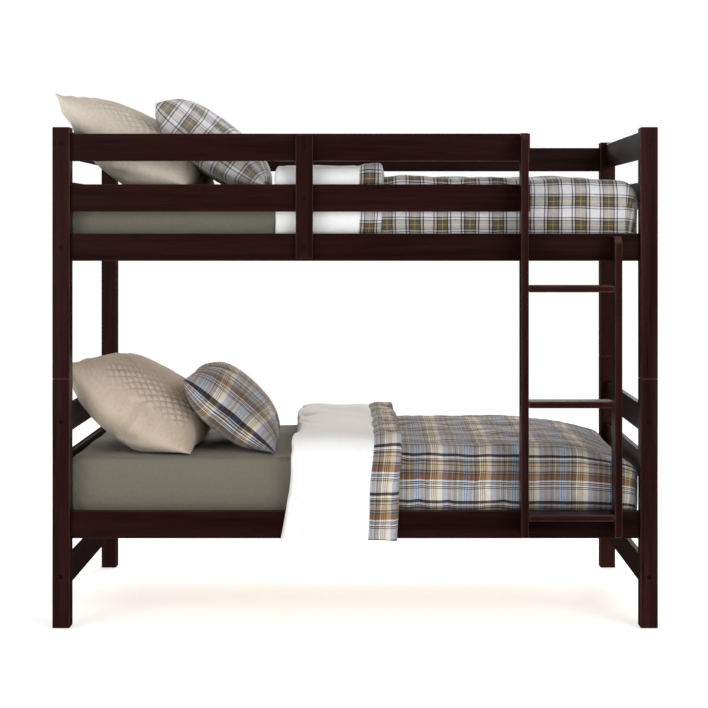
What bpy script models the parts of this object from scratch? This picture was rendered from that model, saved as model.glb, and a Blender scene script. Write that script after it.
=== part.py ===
"""Wooden bunk bed for two single mattresses, with an upright ladder and its bedding.

Metres, +Z up. +X runs along the beds towards the foot end, where the ladder is. +Y runs from the
ladder side to the wall side. The origin is on the floor under the middle of the whole bed, with the
ladder counted in.
"""
import math

import bmesh
import bpy
from mathutils import Matrix, Vector

# Driving dimensions of the frame
BED_LENGTH = 2.020
BED_WIDTH = 1.060
BED_HEIGHT = 1.672
SPLIT_HEIGHT = 0.832
POST_SIDE = 0.058
BOARD_HEIGHT = 0.092
SIDE_BOARD_THICKNESS = 0.022
END_BOARD_THICKNESS = 0.019
RAIL_SETBACK = 0.016
GAP = 0.0003
ARRIS = 0.002
POST_ARRIS = 0.0025
FINE_ARRIS = 0.0015
RUNG_ARRIS = 0.004
CUTTER_OVERSHOOT = 0.004
SAME_PLACE = 1e-6

# Lower edges of the horizontal boards
LOWER_SIDE_RAIL_Z = 0.297
UPPER_SIDE_RAIL_Z = 1.225
GUARD_BOARD_Z = {"low": 1.3895, "high": 1.559}
LOWER_END_BOARD_Z = {"stretcher": 0.124, "middle_rail": 0.480, "top_rail": 0.642}
UPPER_END_BOARD_Z = {"bottom_rail": 1.225, "middle_rail": 1.400, "top_rail": 1.573}
BOLTED_END_BOARDS = ("stretcher", "bottom_rail", "top_rail")

# Ladder
LADDER_PROUD = 0.072
LADDER_START_X = 0.5485
LADDER_WIDTH = 0.3325
STILE_THICKNESS = 0.0245
STILE_BOTTOM = 0.315
LONG_STILE_TOP = 1.650
SHORT_STILE_TOP = 1.307
STILE_ROUNDING = 0.029
STILE_ROUNDING_STEPS = 7
RUNG_TOPS = (0.390, 0.763, 1.145)
RUNG_THICKNESS = 0.022
RUNG_SETBACK = 0.001
GUARD_PAST_STILE = 0.012

# Strip that ties the front guard boards to the upper side rail
STRIP_CENTRE_X = -0.1695
STRIP_WIDTH = 0.057
STRIP_THICKNESS = 0.019
STRIP_BOTTOM = 1.233
STRIP_TOP = 1.646

# Ledges and slats
LEDGE_THICKNESS = 0.025
LEDGE_HEIGHT = 0.035
LEDGE_END_GAP = 0.006
LEDGE_TOP_ABOVE_RAIL_BOTTOM = 0.048
SLAT_COUNT = 13
SLAT_WIDTH = 0.070
SLAT_THICKNESS = 0.018
SLAT_END_CLEARANCE = 0.002
SLAT_SPAN = 1.860
TAPE_WIDTH = 0.025
TAPE_THICKNESS = 0.0015
TAPE_SINK = 0.0006
TAPE_INSET = 0.010
TAPE_SPREAD = 0.560

# Hardware
PIN_RADIUS = 0.005
PIN_LENGTH = 0.100
PIN_CLEARANCE = 0.0004
PIN_CHAMFER = 0.0008
BOLT_HEAD_RADIUS = 0.0065
BOLT_HEAD_HEIGHT = 0.004
BOLT_HEAD_RECESS = 0.001
BOLT_HEAD_CHAMFER = 0.001
BOLT_SHANK_RADIUS = 0.003
BOLT_GRIP_IN_BOARD = 0.050
BOLT_SOCKET_RADIUS = 0.0029
BOLT_SOCKET_DEPTH = 0.0025
BOLT_CLEARANCE = 0.0004
BOLT_HOLE_SPARE = 0.002
ROUND_SIDES = 20
SMALL_ROUND_SIDES = 16
HEXAGON = 6

# Bedding
MATTRESS_LENGTH = 1.895
MATTRESS_WIDTH = 0.943
MATTRESS_HEAD_X = -0.960
LOWER_MATTRESS_HEIGHT = 0.2015
UPPER_MATTRESS_HEIGHT = 0.180
MATTRESS_ROUNDING = 0.022
MATTRESS_ROUNDING_STEPS = 3
DUVET_THICKNESS = 0.045
DUVET_FOLD_THICKNESS = 0.042
DUVET_FOOT_X = 0.949
DUVET_FOOT_LIFT = 0.020
DUVET_OVERLAP = 0.011
BEDDING_GAP = 0.001
BEDDING_STEP = 0.001  # between faces of joined boxes, so that no two lie in one plane
PILLOW_LENGTH = 0.690
PILLOW_EDGE = 0.014
PILLOW_CUTS = 7
PILLOW_PULL_IN = 0.07
PILLOW_ROUNDING = 0.4
PILLOW_SETBACK = 0.012
FRONT_PILLOW_SETBACK = 0.032

# Head end of each duvet, foot side of its fold, and where its sides drop to
DUVETS = {
    "lower": {"head": -0.205, "fold_end": 0.152, "behind_post_faces": 0.028, "above_rail_bottom": 0.096},
    "upper": {"head": -0.268, "fold_end": 0.100, "behind_post_faces": 0.040, "above_rail_bottom": 0.080},
}

# Sheet of the lower fold that hangs in front of the side rail
APRON_X = (-0.235, 0.105)
APRON_THICKNESS = 0.029
APRON_ABOVE_RAIL_BOTTOM = 0.003
APRON_BELOW_FOLD_TOP = 0.010
BRIDGE_X = (-0.207, 0.104)
BRIDGE_BEFORE_RAIL = 0.015
BRIDGE_BEHIND_POSTS = 0.060
BRIDGE_SINK = 0.004
BRIDGE_BELOW_FOLD_TOP = 0.012

# High tip, low tip as (x, z), and thickness of each pillow
PILLOWS = {
    "lower_back": ((-0.962, 0.905), (-0.580, 0.600), 0.190),
    "lower_front": ((-0.578, 0.842), (-0.288, 0.596), 0.150),
    "upper_back": ((-1.000, 1.795), (-0.598, 1.508), 0.190),
    "upper_front": ((-0.655, 1.755), (-0.305, 1.506), 0.160),
}

# Places worked out from the dimensions above
FRONT_Y = (LADDER_PROUD - BED_WIDTH) / 2
BACK_Y = FRONT_Y + BED_WIDTH
HALF_LENGTH = BED_LENGTH / 2
INNER_X = HALF_LENGTH - POST_SIDE
POST_CENTRE_X = HALF_LENGTH - POST_SIDE / 2
RAIL_FRONT_Y = FRONT_Y + RAIL_SETBACK
RAIL_BACK_Y = RAIL_FRONT_Y + SIDE_BOARD_THICKNESS
MIDDLE_Y = (FRONT_Y + BACK_Y) / 2
LADDER_FRONT_Y = FRONT_Y - LADDER_PROUD
MATTRESS_FRONT_Y = MIDDLE_Y - MATTRESS_WIDTH / 2
SIDES = {"left": -1, "right": 1}

PARTS = bpy.data.collections.new("bunk_bed_with_ladder")
CUTTERS = bpy.data.collections.new("cutters")


def clear_scene():
    for obj in list(bpy.data.objects):
        bpy.data.objects.remove(obj, do_unlink=True)


def make_material(name, colour, roughness, metallic=0.0):
    material = bpy.data.materials.new(name)
    material.use_nodes = True
    shader = material.node_tree.nodes["Principled BSDF"]
    shader.inputs["Base Color"].default_value = (*colour, 1.0)
    shader.inputs["Roughness"].default_value = roughness
    shader.inputs["Metallic"].default_value = metallic
    return material


def finish(name, bm, material, collection=PARTS):
    """Turns a bmesh into an object in the given collection."""
    mesh = bpy.data.meshes.new(name)
    bm.to_mesh(mesh)
    bm.free()
    obj = bpy.data.objects.new(name, mesh)
    if material:
        own = material.copy()
        own.name = name
        mesh.materials.append(own)
    collection.objects.link(obj)
    return obj


def box_mesh(low, high):
    bm = bmesh.new()
    bmesh.ops.create_cube(bm, size=1.0)
    size = [b - a for a, b in zip(low, high)]
    middle = [(a + b) / 2 for a, b in zip(low, high)]
    bmesh.ops.scale(bm, vec=size, verts=bm.verts)
    return bm, middle


def ease_edges(obj, width, segments=2):
    bevel = obj.modifiers.new("eased_edges", "BEVEL")
    bevel.width = width
    bevel.segments = segments
    bevel.limit_method = "ANGLE"
    bevel.angle_limit = math.radians(40)
    return obj


def board(name, low, high, material, arris=ARRIS, segments=2):
    """A straight piece of timber between two corners, with eased edges."""
    bm, middle = box_mesh(low, high)
    obj = finish(name, bm, material)
    obj.location = middle
    return ease_edges(obj, arris, segments)


def cylinder_mesh(radius, length, sides=ROUND_SIDES):
    """A cylinder along +Z that starts at the origin."""
    bm = bmesh.new()
    bmesh.ops.create_cone(bm, cap_ends=True, segments=sides, radius1=radius, radius2=radius, depth=length)
    bmesh.ops.translate(bm, vec=(0, 0, length / 2), verts=bm.verts)
    return bm


def drill(obj, start, direction, radius, depth, sides=ROUND_SIDES):
    """Cuts a round hole from a point on a face into the piece."""
    bm = cylinder_mesh(radius, depth + CUTTER_OVERSHOOT, sides)
    direction = Vector(direction)
    cutter = finish(obj.name + "_hole", bm, None, CUTTERS)
    cutter.matrix_world = (
        Matrix.Translation(Vector(start) - direction * CUTTER_OVERSHOOT)
        @ direction.to_track_quat("Z", "Y").to_matrix().to_4x4()
    )
    cutter.hide_render = True
    cutter.display_type = "WIRE"
    cut = obj.modifiers.new("hole", "BOOLEAN")
    cut.operation = "DIFFERENCE"
    cut.solver = "EXACT"
    cut.object = cutter


def bolt_height(board_bottom):
    return board_bottom + BOARD_HEIGHT / 2


def bolt_heights(end_boards):
    return [bolt_height(z) for name, z in end_boards.items() if name in BOLTED_END_BOARDS]


def post(name, side, at_back, bottom, top, bolts, pin_end):
    """One post, bored along Y for the bolts of its end boards and at one end for its dowel pin."""
    outer_x = SIDES[side] * HALF_LENGTH
    inner_x = SIDES[side] * INNER_X
    near_y = BACK_Y - POST_SIDE if at_back else FRONT_Y
    low = (min(outer_x, inner_x), near_y, bottom)
    high = (max(outer_x, inner_x), near_y + POST_SIDE, top)
    obj = board(name, low, high, WOOD, POST_ARRIS)
    centre_x = SIDES[side] * POST_CENTRE_X
    outer_y = BACK_Y if at_back else FRONT_Y
    inward = (0, -1, 0) if at_back else (0, 1, 0)
    for height in bolts:
        start = (centre_x, outer_y, height)
        head_depth = BOLT_HEAD_RECESS + BOLT_HEAD_HEIGHT + BOLT_CLEARANCE
        drill(obj, start, inward, BOLT_HEAD_RADIUS + BOLT_CLEARANCE, head_depth)
        drill(obj, start, inward, BOLT_SHANK_RADIUS + BOLT_CLEARANCE, POST_SIDE + CUTTER_OVERSHOOT)
    pin_z = top if pin_end == "top" else bottom
    down_or_up = (0, 0, -1) if pin_end == "top" else (0, 0, 1)
    pin_start = (centre_x, near_y + POST_SIDE / 2, pin_z)
    drill(obj, pin_start, down_or_up, PIN_RADIUS + PIN_CLEARANCE, PIN_LENGTH / 2 + PIN_CLEARANCE)


def posts():
    for side in SIDES:
        for place, at_back in (("front", False), ("rear", True)):
            lower_bolts = bolt_heights(LOWER_END_BOARD_Z)
            upper_bolts = bolt_heights(UPPER_END_BOARD_Z)
            split = SPLIT_HEIGHT - GAP / 2
            post(f"lower_post_{place}_{side}", side, at_back, 0.0, split, lower_bolts, "top")
            post(f"upper_post_{place}_{side}", side, at_back, split + GAP, BED_HEIGHT, upper_bolts, "bottom")


def dowel_pins():
    for side in SIDES:
        for place, y in (("front", FRONT_Y + POST_SIDE / 2), ("rear", BACK_Y - POST_SIDE / 2)):
            pin = cylinder_mesh(PIN_RADIUS, PIN_LENGTH, SMALL_ROUND_SIDES)
            obj = finish(f"dowel_pin_{place}_{side}", pin, STEEL)
            obj.location = (SIDES[side] * POST_CENTRE_X, y, SPLIT_HEIGHT - PIN_LENGTH / 2)
            ease_edges(obj, PIN_CHAMFER, 1)
            obj.data.set_sharp_from_angle(angle=math.radians(30))


def end_boards(level, heights):
    """The boards between the front and the rear post at both ends of one bed."""
    for side in SIDES:
        for name, bottom in heights.items():
            x = SIDES[side] * POST_CENTRE_X
            low = (x - END_BOARD_THICKNESS / 2, FRONT_Y + POST_SIDE + GAP, bottom)
            high = (x + END_BOARD_THICKNESS / 2, BACK_Y - POST_SIDE - GAP, bottom + BOARD_HEIGHT)
            obj = board(f"{level}_{name}_{side}", low, high, WOOD)
            if name in BOLTED_END_BOARDS:
                height = bolt_height(bottom)
                depth = BOLT_GRIP_IN_BOARD + BOLT_HOLE_SPARE
                radius = BOLT_SHANK_RADIUS + BOLT_CLEARANCE
                drill(obj, (x, low[1], height), (0, 1, 0), radius, depth)
                drill(obj, (x, high[1], height), (0, -1, 0), radius, depth)


def corner_bolts():
    """Bolts through the front posts into the end boards: a shallow head with a hexagonal socket."""
    head_y = FRONT_Y + BOLT_HEAD_RECESS
    shank_end = POST_SIDE - BOLT_HEAD_RECESS + BOLT_GRIP_IN_BOARD
    for side in SIDES:
        for level, heights in (("lower", LOWER_END_BOARD_Z), ("upper", UPPER_END_BOARD_Z)):
            for name, bottom in heights.items():
                if name not in BOLTED_END_BOARDS:
                    continue
                profile = [
                    (0.0, 0.0),
                    (BOLT_HEAD_RADIUS - BOLT_HEAD_CHAMFER, 0.0),
                    (BOLT_HEAD_RADIUS, -BOLT_HEAD_CHAMFER),
                    (BOLT_HEAD_RADIUS, -BOLT_HEAD_HEIGHT),
                    (BOLT_SHANK_RADIUS, -BOLT_HEAD_HEIGHT),
                    (BOLT_SHANK_RADIUS, -shank_end),
                    (0.0, -shank_end),
                ]
                bm = bmesh.new()
                points = [bm.verts.new((r, 0, z)) for r, z in profile]
                for first, second in zip(points, points[1:]):
                    bm.edges.new((first, second))
                obj = finish(f"{level}_bolt_{name}_{side}", bm, STEEL)
                screw = obj.modifiers.new("turned", "SCREW")
                screw.steps = SMALL_ROUND_SIDES
                screw.render_steps = SMALL_ROUND_SIDES
                screw.use_merge_vertices = True
                screw.merge_threshold = 0.00005
                obj.location = (SIDES[side] * POST_CENTRE_X, head_y, bolt_height(bottom))
                obj.rotation_euler = (math.radians(90), 0, 0)
                drill(obj, obj.location, (0, 1, 0), BOLT_SOCKET_RADIUS, BOLT_SOCKET_DEPTH, HEXAGON)


def long_boards():
    """Side rails on both beds, and the guard boards of the upper bed."""
    places = {
        "front": (RAIL_FRONT_Y, RAIL_BACK_Y),
        "rear": (BACK_Y - RAIL_SETBACK - SIDE_BOARD_THICKNESS, BACK_Y - RAIL_SETBACK),
    }
    for place, (y_low, y_high) in places.items():
        heights = {
            "lower_side_rail": LOWER_SIDE_RAIL_Z,
            "upper_side_rail": UPPER_SIDE_RAIL_Z,
            "low_guard_board": GUARD_BOARD_Z["low"],
            "high_guard_board": GUARD_BOARD_Z["high"],
        }
        for name, bottom in heights.items():
            end_x = INNER_X - GAP
            if place == "front" and "guard" in name:
                end_x = LADDER_START_X + STILE_THICKNESS + GUARD_PAST_STILE
            low = (-INNER_X + GAP, y_low, bottom)
            high = (end_x, y_high, bottom + BOARD_HEIGHT)
            board(f"{name}_{place}", low, high, WOOD)


def guard_strip():
    low = (STRIP_CENTRE_X - STRIP_WIDTH / 2, RAIL_FRONT_Y - GAP - STRIP_THICKNESS, STRIP_BOTTOM)
    high = (STRIP_CENTRE_X + STRIP_WIDTH / 2, RAIL_FRONT_Y - GAP, STRIP_TOP)
    board("guard_board_strip", low, high, WOOD)


def ledges():
    """Strips along the inner faces of the side rails, which carry the slats."""
    for level, rail_bottom in (("lower", LOWER_SIDE_RAIL_Z), ("upper", UPPER_SIDE_RAIL_Z)):
        top = rail_bottom + LEDGE_TOP_ABOVE_RAIL_BOTTOM
        inner_faces = {"front": RAIL_BACK_Y + GAP, "rear": 2 * MIDDLE_Y - RAIL_BACK_Y - GAP - LEDGE_THICKNESS}
        for place, y in inner_faces.items():
            low = (-INNER_X + LEDGE_END_GAP, y, top - LEDGE_HEIGHT)
            high = (INNER_X - LEDGE_END_GAP, y + LEDGE_THICKNESS, top)
            board(f"{level}_slat_ledge_{place}", low, high, WOOD, FINE_ARRIS, 1)


def slat_top(rail_bottom):
    return rail_bottom + LEDGE_TOP_ABOVE_RAIL_BOTTOM + GAP + SLAT_THICKNESS


def slat_rolls():
    """Thirteen slats for each bed, held at their spacing by two webbing tapes stapled under them."""
    pitch = (SLAT_SPAN - SLAT_WIDTH) / (SLAT_COUNT - 1)
    y_low = RAIL_BACK_Y + SLAT_END_CLEARANCE
    y_high = 2 * MIDDLE_Y - y_low
    for level, rail_bottom in (("lower", LOWER_SIDE_RAIL_Z), ("upper", UPPER_SIDE_RAIL_Z)):
        z_high = slat_top(rail_bottom)
        z_low = z_high - SLAT_THICKNESS
        slats = bmesh.new()
        for number in range(SLAT_COUNT):
            x = -SLAT_SPAN / 2 + number * pitch
            made = bmesh.ops.create_cube(slats, size=1.0)["verts"]
            bmesh.ops.scale(slats, vec=(SLAT_WIDTH, y_high - y_low, SLAT_THICKNESS), verts=made)
            middle = (x + SLAT_WIDTH / 2, (y_low + y_high) / 2, (z_low + z_high) / 2)
            bmesh.ops.translate(slats, vec=middle, verts=made)
        obj = finish(f"{level}_slat_roll", slats, PALE_WOOD)
        ease_edges(obj, FINE_ARRIS, 1)
        for tape_y in (MIDDLE_Y - TAPE_SPREAD / 2, MIDDLE_Y + TAPE_SPREAD / 2):
            low = (-SLAT_SPAN / 2 + TAPE_INSET, tape_y - TAPE_WIDTH / 2, z_low - TAPE_THICKNESS + TAPE_SINK)
            high = (SLAT_SPAN / 2 - TAPE_INSET, tape_y + TAPE_WIDTH / 2, z_low + TAPE_SINK)
            join_box(obj, low, high)


def join_box(obj, low, high):
    """Adds a box to a piece, so that both become one body."""
    bm, middle = box_mesh(low, high)
    extra = finish(obj.name + "_joined", bm, None, CUTTERS)
    extra.location = middle
    extra.hide_render = True
    extra.display_type = "WIRE"
    union = obj.modifiers.new("joined", "BOOLEAN")
    union.operation = "UNION"
    union.solver = "EXACT"
    union.object = extra


def stile(name, x_low, top):
    """An upright of the ladder: its top front corner is well rounded."""
    low = (x_low, LADDER_FRONT_Y, STILE_BOTTOM)
    high = (x_low + STILE_THICKNESS, RAIL_FRONT_Y - GAP, top)
    bm, middle = box_mesh(low, high)
    y_front = min(v.co.y for v in bm.verts)
    z_top = max(v.co.z for v in bm.verts)
    corner = [
        edge for edge in bm.edges
        if all(abs(v.co.y - y_front) < SAME_PLACE and abs(v.co.z - z_top) < SAME_PLACE for v in edge.verts)
    ]
    bmesh.ops.bevel(
        bm, geom=corner, offset=STILE_ROUNDING, offset_type="OFFSET", segments=STILE_ROUNDING_STEPS,
        profile=0.5, affect="EDGES"
    )
    obj = finish(name, bm, WOOD)
    obj.location = middle
    ease_edges(obj, ARRIS)


def ladder():
    right_x = LADDER_START_X + LADDER_WIDTH - STILE_THICKNESS
    stile("ladder_stile_long", LADDER_START_X, LONG_STILE_TOP)
    stile("ladder_stile_short", right_x, SHORT_STILE_TOP)
    for number, top in enumerate(RUNG_TOPS, start=1):
        low = (LADDER_START_X + STILE_THICKNESS + GAP, LADDER_FRONT_Y + RUNG_SETBACK, top - RUNG_THICKNESS)
        high = (right_x - GAP, RAIL_FRONT_Y - GAP, top)
        board(f"ladder_rung_{number}", low, high, WOOD, RUNG_ARRIS)


def mattress(name, bottom, height):
    low = (MATTRESS_HEAD_X, MATTRESS_FRONT_Y, bottom)
    high = (MATTRESS_HEAD_X + MATTRESS_LENGTH, MATTRESS_FRONT_Y + MATTRESS_WIDTH, bottom + height)
    return board(name, low, high, SHEET, MATTRESS_ROUNDING, MATTRESS_ROUNDING_STEPS)


def duvet(level, mattress_top, rail_bottom, material):
    """A duvet over the mattress: its sides drop beside it, and its head end is folded back on top."""
    head_x = DUVETS[level]["head"]
    drop_y = FRONT_Y + DUVETS[level]["behind_post_faces"]
    drop_bottom = rail_bottom + DUVETS[level]["above_rail_bottom"]
    inner_z = mattress_top + BEDDING_GAP
    outer_z = inner_z + DUVET_THICKNESS
    low = (head_x, drop_y, inner_z)
    high = (DUVET_FOOT_X, 2 * MIDDLE_Y - drop_y, outer_z)
    bm, middle = box_mesh(low, high)
    obj = finish(f"{level}_duvet", bm, material)
    obj.location = middle
    join_height = inner_z + DUVET_OVERLAP
    drop_inner_y = MATTRESS_FRONT_Y - BEDDING_GAP
    drop_outer_y = drop_y + BEDDING_STEP / 2
    drop_head_x = head_x + BEDDING_STEP
    drop_foot_x = DUVET_FOOT_X - BEDDING_STEP
    join_box(obj, (drop_head_x, drop_outer_y, drop_bottom), (drop_foot_x, drop_inner_y, join_height))
    rear_low = (drop_head_x, 2 * MIDDLE_Y - drop_inner_y, drop_bottom)
    rear_high = (drop_foot_x, 2 * MIDDLE_Y - drop_outer_y, join_height)
    join_box(obj, rear_low, rear_high)
    foot_x = MATTRESS_HEAD_X + MATTRESS_LENGTH + BEDDING_GAP
    foot_y = drop_inner_y - 3 * BEDDING_STEP
    foot_low = (foot_x, foot_y, drop_bottom + DUVET_FOOT_LIFT)
    foot_high = (DUVET_FOOT_X - 2 * BEDDING_STEP, 2 * MIDDLE_Y - foot_y, join_height + BEDDING_STEP)
    join_box(obj, foot_low, foot_high)
    fold_y = drop_y - BEDDING_STEP
    fold_low = (head_x - 4 * BEDDING_STEP, fold_y, outer_z - DUVET_OVERLAP)
    fold_high = (DUVETS[level]["fold_end"], 2 * MIDDLE_Y - fold_y, outer_z + DUVET_FOLD_THICKNESS)
    join_box(obj, fold_low, fold_high)
    return obj, outer_z + DUVET_FOLD_THICKNESS


def pillow(name, near_y, material):
    """A pillow that leans back: its section runs from a high tip to a low tip."""
    tip_high, tip_low, thickness = PILLOWS[name]
    chord = Vector((tip_low[0] - tip_high[0], 0, tip_low[1] - tip_high[1]))
    along = chord.normalized()
    across = Vector((0, 1, 0))
    normal = along.cross(across)
    bm = bmesh.new()
    bmesh.ops.create_cube(bm, size=2.0)
    flat_edges = [e for e in bm.edges if abs(e.verts[0].co.z - e.verts[1].co.z) < SAME_PLACE]
    bmesh.ops.subdivide_edges(bm, edges=flat_edges, cuts=PILLOW_CUTS, use_grid_fill=True)
    for vert in bm.verts:
        u, v, w = vert.co
        u = math.sin(u * math.pi / 2) * PILLOW_ROUNDING + u * (1 - PILLOW_ROUNDING)
        v = math.sin(v * math.pi / 2) * PILLOW_ROUNDING + v * (1 - PILLOW_ROUNDING)
        crown = math.sqrt(max(0.0, (1 - abs(u) ** 2.4) * (1 - abs(v) ** 3.2)))
        half = PILLOW_EDGE / 2 + (thickness - PILLOW_EDGE) / 2 * crown
        vert.co = (
            u * chord.length / 2 * (1 - PILLOW_PULL_IN * (1 - v * v)),
            v * PILLOW_LENGTH / 2 * (1 - PILLOW_PULL_IN * (1 - u * u)),
            w * half,
        )
    centre_x = (tip_high[0] + tip_low[0]) / 2
    centre_z = (tip_high[1] + tip_low[1]) / 2
    middle = (centre_x, near_y + PILLOW_LENGTH / 2, centre_z)
    turn = Matrix((along, across, normal)).transposed().to_4x4()
    bmesh.ops.transform(bm, matrix=turn, verts=bm.verts)
    bmesh.ops.recalc_face_normals(bm, faces=bm.faces)
    obj = finish(f"{name}_pillow", bm, material)
    obj.location = middle
    for face in obj.data.polygons:
        face.use_smooth = True


def bedding():
    lower_bottom = slat_top(LOWER_SIDE_RAIL_Z) + GAP
    upper_bottom = slat_top(UPPER_SIDE_RAIL_Z) + GAP
    lower_top = lower_bottom + LOWER_MATTRESS_HEIGHT
    upper_top = upper_bottom + UPPER_MATTRESS_HEIGHT
    mattress("lower_mattress", lower_bottom, LOWER_MATTRESS_HEIGHT)
    mattress("upper_mattress", upper_bottom, UPPER_MATTRESS_HEIGHT)

    # The lower duvet drops just above the side rail; its fold hangs outside, in front of the rail
    lower, fold_top = duvet("lower", lower_top, LOWER_SIDE_RAIL_Z, BLUE_CHECK)
    apron_back = RAIL_FRONT_Y - BEDDING_GAP
    apron_low = (APRON_X[0], apron_back - APRON_THICKNESS, LOWER_SIDE_RAIL_Z + APRON_ABOVE_RAIL_BOTTOM)
    apron_high = (APRON_X[1], apron_back, fold_top - APRON_BELOW_FOLD_TOP)
    join_box(lower, apron_low, apron_high)
    bridge_z = fold_top - DUVET_FOLD_THICKNESS - BRIDGE_SINK
    bridge_low = (BRIDGE_X[0], RAIL_FRONT_Y - BRIDGE_BEFORE_RAIL, bridge_z)
    bridge_high = (BRIDGE_X[1], FRONT_Y + BRIDGE_BEHIND_POSTS, fold_top - BRIDGE_BELOW_FOLD_TOP)
    join_box(lower, bridge_low, bridge_high)

    # The upper duvet is tucked in between the mattress and the rails
    duvet("upper", upper_top, UPPER_SIDE_RAIL_Z, GREY_CHECK)

    back_y = MATTRESS_FRONT_Y + PILLOW_SETBACK
    front_y = MATTRESS_FRONT_Y + FRONT_PILLOW_SETBACK
    pillow("lower_back", back_y, BEIGE)
    pillow("lower_front", front_y, BLUE_CHECK)
    pillow("upper_back", back_y, BEIGE)
    pillow("upper_front", front_y, GREY_CHECK)


clear_scene()
bpy.context.scene.collection.children.link(PARTS)
bpy.context.scene.collection.children.link(CUTTERS)

WOOD = make_material("espresso_wood", (0.024, 0.009, 0.007), 0.35)
PALE_WOOD = make_material("pale_slat_wood", (0.55, 0.38, 0.22), 0.6)
STEEL = make_material("dark_zinc_steel", (0.12, 0.10, 0.10), 0.35, 1.0)
SHEET = make_material("olive_grey_sheet", (0.17, 0.16, 0.13), 0.9)
BEIGE = make_material("beige_quilted_cotton", (0.55, 0.48, 0.38), 0.9)
BLUE_CHECK = make_material("blue_brown_check_cotton", (0.28, 0.27, 0.28), 0.9)
GREY_CHECK = make_material("grey_white_check_cotton", (0.42, 0.42, 0.40), 0.9)

posts()
dowel_pins()
end_boards("lower", LOWER_END_BOARD_Z)
end_boards("upper", UPPER_END_BOARD_Z)
corner_bolts()
long_boards()
guard_strip()
ledges()
slat_rolls()
ladder()
bedding()
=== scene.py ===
"""The looks of the bunk bed with ladder: dark stained wood, steel fasteners and made-up beds.

Metres, +Z up. +X runs towards the foot end with the ladder, +Y towards the wall side. The frame's own
pieces get better materials. The bedding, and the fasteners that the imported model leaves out, are made here.
"""
import math

import bmesh
import bpy
import numpy as np
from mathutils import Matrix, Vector


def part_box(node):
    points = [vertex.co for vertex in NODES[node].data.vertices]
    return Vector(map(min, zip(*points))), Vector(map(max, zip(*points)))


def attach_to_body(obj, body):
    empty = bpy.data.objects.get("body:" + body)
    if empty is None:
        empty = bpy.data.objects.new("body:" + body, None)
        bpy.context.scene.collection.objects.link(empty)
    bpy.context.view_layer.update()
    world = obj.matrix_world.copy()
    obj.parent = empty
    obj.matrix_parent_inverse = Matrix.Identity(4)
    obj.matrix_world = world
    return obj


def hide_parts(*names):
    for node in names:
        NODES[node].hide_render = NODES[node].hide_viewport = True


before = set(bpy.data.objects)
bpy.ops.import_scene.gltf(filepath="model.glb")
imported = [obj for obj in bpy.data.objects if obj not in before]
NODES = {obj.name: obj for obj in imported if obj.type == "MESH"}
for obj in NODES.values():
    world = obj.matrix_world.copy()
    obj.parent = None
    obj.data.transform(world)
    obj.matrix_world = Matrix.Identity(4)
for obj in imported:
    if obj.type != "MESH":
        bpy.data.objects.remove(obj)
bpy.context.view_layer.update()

CLOTH = "cloth"  # point attribute: metres across the fabric, used for its weave and its check
TOP_LAYER = 0.0  # the third value of the cloth attribute tells the layers apart
BOTTOM_LAYER = -1.0
QUILTED = "quilted"  # point attribute: how strongly the quilting shows, and so how much painted shade its grooves get
QUILT_CELL = (0.024, 0.027)
DIAGONAL = math.sqrt(0.5)
CLEARANCE = 0.001
TINY = 1e-12

# ---------------- node helpers


def linear(red, green, blue):
    """Linear colour of a display colour given from 0 to 255."""
    channels = [c / 255 for c in (red, green, blue)]
    return tuple(c / 12.92 if c <= 0.04045 else ((c + 0.055) / 1.055) ** 2.4 for c in channels)


def node(tree, kind, inputs=None, **settings):
    """Adds a shader node. inputs gives its sockets a value, or a link from another node's output."""
    made = tree.nodes.new("ShaderNode" + kind)
    for key, value in settings.items():
        setattr(made, key, value)
    for key, value in (inputs or {}).items():
        if isinstance(value, bpy.types.NodeSocket):
            tree.links.new(value, made.inputs[key])
        else:
            made.inputs[key].default_value = value
    return made


def maths(tree, operation, first, second=0.0, clamp=False):
    made = node(tree, "Math", {0: first, 1: second}, operation=operation, use_clamp=clamp)
    return made.outputs[0]


def mixed(tree, factor, first, second, blend_type="MIX"):
    made = node(tree, "Mix", data_type="RGBA", blend_type=blend_type)
    for socket, value in ((made.inputs["Factor"], factor), (made.inputs[6], first), (made.inputs[7], second)):
        if isinstance(value, bpy.types.NodeSocket):
            tree.links.new(value, socket)
        elif isinstance(value, tuple):
            socket.default_value = (*value, 1.0)
        else:
            socket.default_value = value
    return made.outputs[2]


def spread(tree, value, low, high, to_low=0.0, to_high=1.0):
    made = node(tree, "MapRange", {0: value, 1: low, 2: high, 3: to_low, 4: to_high})
    return made.outputs[0]


def noise(tree, vector, scale, detail=3.0, roughness=0.55):
    inputs = {"Vector": vector, "Scale": scale, "Detail": detail, "Roughness": roughness}
    return node(tree, "TexNoise", inputs).outputs["Fac"]


def material(name, **constants):
    """A new Principled material, with the values that are the same all over set on its sockets."""
    made = bpy.data.materials.new(name)
    made.use_nodes = True
    shader = made.node_tree.nodes["Principled BSDF"]
    for key, value in constants.items():
        shader.inputs[key.replace("_", " ").title().replace("Ior", "IOR")].default_value = value
    return made, made.node_tree, shader


def attach(tree, shader, colour, roughness, height, distance, strength):
    """Links a colour, a roughness and a bump to the material."""
    tree.links.new(colour, shader.inputs["Base Color"])
    tree.links.new(roughness, shader.inputs["Roughness"])
    bump = node(tree, "Bump", {"Height": height, "Distance": distance, "Strength": strength})
    tree.links.new(bump.outputs[0], shader.inputs["Normal"])


def shaded(tree, colour, shade):
    """A colour multiplied by one value."""
    grey = node(tree, "CombineColor", {0: shade, 1: shade, 2: shade}).outputs[0]
    return mixed(tree, 1.0, colour, grey, "MULTIPLY")


def drawn_out(tree, place, axis, across, along):
    """Texture coordinates with one scale along the axis and another across it."""
    scale = [across, across, across]
    scale["XYZ".index(axis)] = along
    return node(tree, "Mapping", {"Vector": place, "Scale": scale}).outputs[0]
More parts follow.
